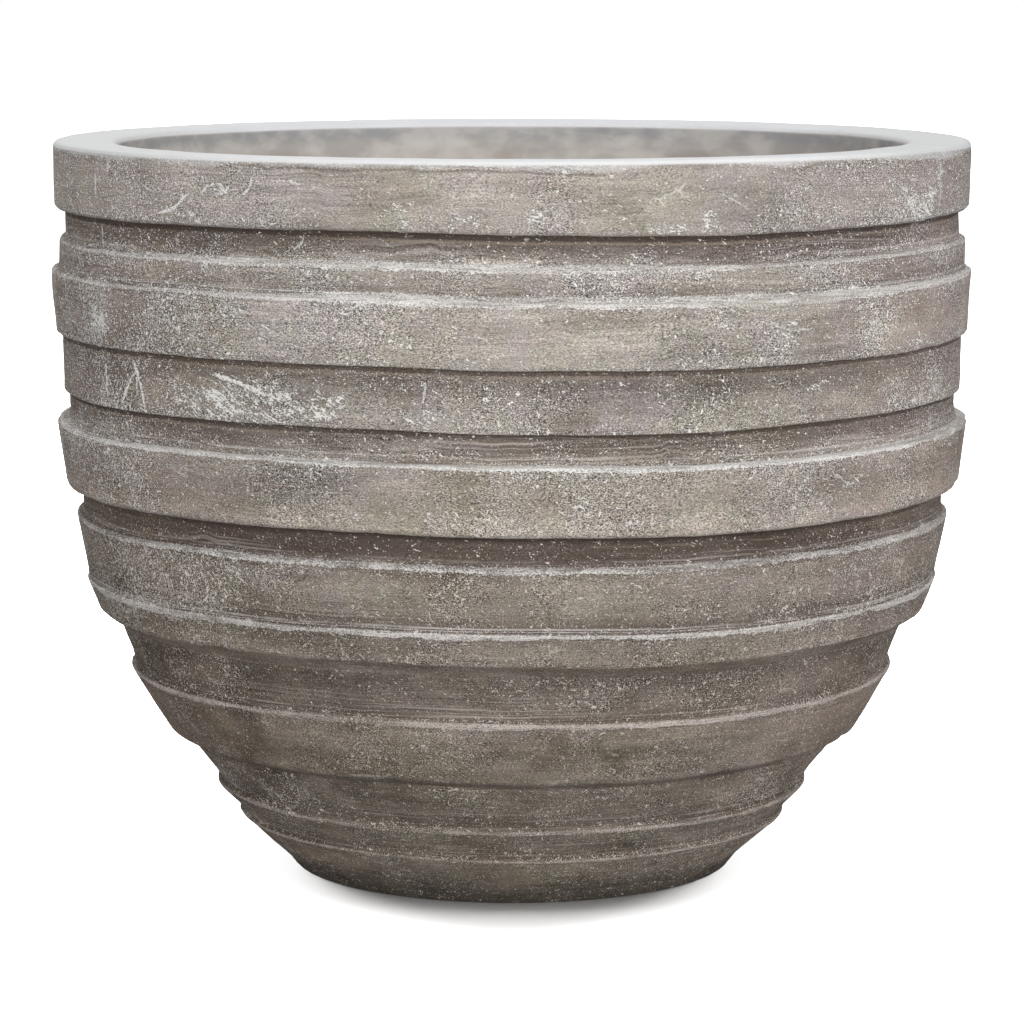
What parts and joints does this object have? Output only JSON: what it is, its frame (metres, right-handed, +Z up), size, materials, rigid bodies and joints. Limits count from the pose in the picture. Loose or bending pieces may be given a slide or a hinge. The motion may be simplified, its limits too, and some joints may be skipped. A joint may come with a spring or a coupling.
{
  "type": "flower pot",
  "caption": "Large round clay planter with a flat lip, uneven stacked bands with ledges and grooves, a bowl-shaped body, and a rubber plug that lifts out of its drain hole.",
  "frame": {"origin": "centre of the foot ring on the ground", "axes": "+Z up along the pot's axis of revolution, -Y towards the camera of the picture, +X to its right"},
  "size_m": [0.4308, 0.4308, 0.341],
  "materials": {
    "clay": "rough unglazed clay with a worn pale lime wash",
    "rubber": "matt moulded rubber"
  },
  "bodies": {
    "pot": {"pot_shell": "clay"},
    "plug": {"drain_plug": "rubber"}
  },
  "joints": [
    {"name": "plug_lift", "type": "slide", "parent": "pot", "child": "plug", "axis": [0, 0, 1], "range_m": [0, 0.36]}
  ]
}
